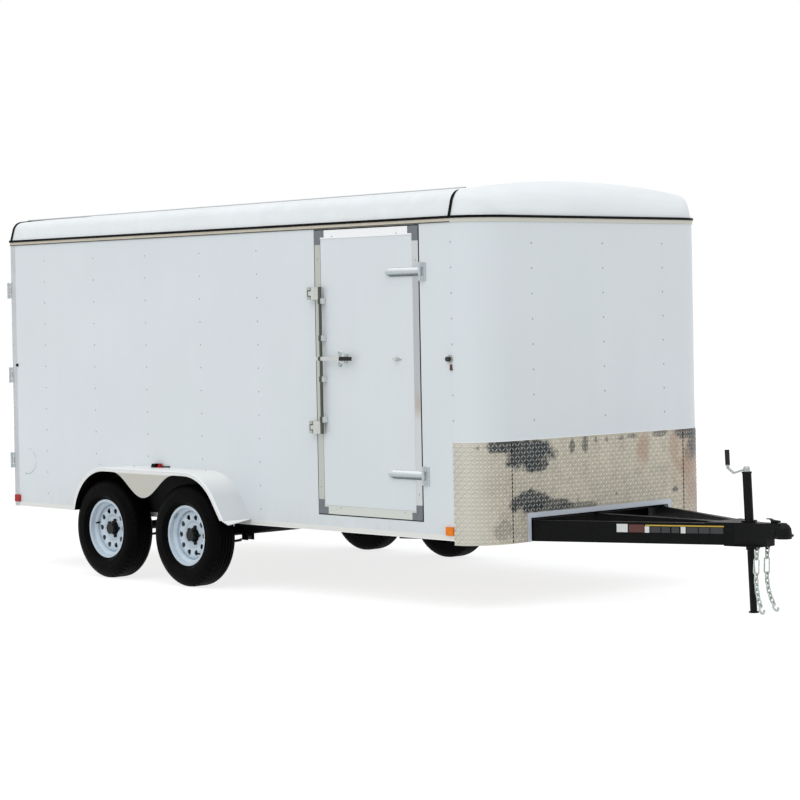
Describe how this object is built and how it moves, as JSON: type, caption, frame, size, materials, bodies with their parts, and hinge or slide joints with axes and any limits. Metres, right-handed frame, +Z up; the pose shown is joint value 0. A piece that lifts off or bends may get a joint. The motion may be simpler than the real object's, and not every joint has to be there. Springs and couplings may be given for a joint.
{
  "type": "enclosed cargo trailer",
  "caption": "Box-bodied road trailer on a tandem axle, with crowned roof, side door, rear double doors, fenders, A-frame tongue, ball coupler and jack.",
  "frame": {"origin": "on the ground at the middle of the trailer's overall length and width", "axes": "+X forward to the coupler, +Y to the left, +Z up"},
  "size_m": [6.4124, 2.608, 2.606],
  "materials": {
    "frame_black": "gloss black paint",
    "coupler_black": "satin black paint",
    "spring_steel": "dark spring steel",
    "zinc": "zinc plated",
    "leg_steel": "satin black",
    "chain_zinc": "zinc plated, dulled",
    "floor_wood": "plywood",
    "skin_white": "white painted sheet",
    "roof_white": "bright white sheet",
    "seal_black": "black sealant and rubber",
    "trim_beige": "anodised trim",
    "edge_aluminium": "mill finish",
    "tread_plate": "bright tread plate",
    "fender_white": "off-white paint",
    "lamp_amber": "amber lens",
    "lamp_red": "red lens",
    "tyre": "black rubber",
    "rim_white": "white paint",
    "hub_black": "black"
  },
  "bodies": {
    "trailer": {"frame_rails": "frame_black", "crossmembers": "frame_black", "tongue": "frame_black", "tongue_plates": "frame_black", "coupler": "coupler_black", "coupler_latch": "coupler_black", "jack_tube": "coupler_black", "jack_crank": "zinc", "safety_chains": "chain_zinc", "floor_deck": "floor_wood", "wall_right": "skin_white", "wall_left": "skin_white", "wall_front": "skin_white", "roof": "roof_white", "roof_cap": "roof_white", "roof_seal": "seal_black", "body_trim": "trim_beige", "rear_frame": "edge_aluminium", "stone_guard": "tread_plate", "hinge_plates": "zinc", "keepers": "zinc", "fender_right": "fender_white", "fender_left": "fender_white", "axles": "frame_black", "leaf_springs": "spring_steel", "spring_hangers": "frame_black", "lamps_amber": "lamp_amber", "lamps_red": "lamp_red"},
    "wheel_rear_right": {"tyre_rear_right": "tyre", "rim_rear_right": "rim_white", "hub_rear_right": "hub_black"},
    "wheel_front_right": {"tyre_front_right": "tyre", "rim_front_right": "rim_white", "hub_front_right": "hub_black"},
    "wheel_rear_left": {"tyre_rear_left": "tyre", "rim_rear_left": "rim_white", "hub_rear_left": "hub_black"},
    "wheel_front_left": {"tyre_front_left": "tyre", "rim_front_left": "rim_white", "hub_front_left": "hub_black"},
    "side_leaf": {"side_door": "skin_white", "side_door_edge": "edge_aluminium", "side_door_straps": "zinc", "side_door_lock": "zinc"},
    "rear_leaf_right": {"rear_door_right": "skin_white", "rear_edge_right": "edge_aluminium", "rear_locks_right": "zinc"},
    "rear_leaf_left": {"rear_door_left": "skin_white", "rear_edge_left": "edge_aluminium", "rear_locks_left": "zinc"},
    "jack_foot": {"jack_leg": "leg_steel"}
  },
  "joints": [
    {"name": "spin_rear_right", "type": "hinge", "parent": "trailer", "child": "wheel_rear_right", "pos_m": [-1.7599, -1.192, 0.341], "axis": [0, 1, 0], "continuous": true},
    {"name": "spin_front_right", "type": "hinge", "parent": "trailer", "child": "wheel_front_right", "pos_m": [-0.8639, -1.192, 0.341], "axis": [0, 1, 0], "continuous": true},
    {"name": "spin_rear_left", "type": "hinge", "parent": "trailer", "child": "wheel_rear_left", "pos_m": [-1.7599, 1.192, 0.341], "axis": [0, 1, 0], "continuous": true},
    {"name": "spin_front_left", "type": "hinge", "parent": "trailer", "child": "wheel_front_left", "pos_m": [-0.8639, 1.192, 0.341], "axis": [0, 1, 0], "continuous": true},
    {"name": "side_door_swing", "type": "hinge", "parent": "trailer", "child": "side_leaf", "pos_m": [1.25625, -1.087, 1.4], "axis": [0, 0, 1], "range_deg": [0, 175]},
    {"name": "rear_door_right_swing", "type": "hinge", "parent": "trailer", "child": "rear_leaf_right", "pos_m": [-3.18175, -1.079, 1.37], "axis": [0, 0, 1], "range_deg": [0, 255]},
    {"name": "rear_door_left_swing", "type": "hinge", "parent": "trailer", "child": "rear_leaf_left", "pos_m": [-3.18175, 1.079, 1.37], "axis": [0, 0, 1], "range_deg": [-255, 0]},
    {"name": "jack_slide", "type": "slide", "parent": "trailer", "child": "jack_foot", "axis": [-0.0419, 0, 0.9991], "range_m": [0, 0.24]}
  ]
}
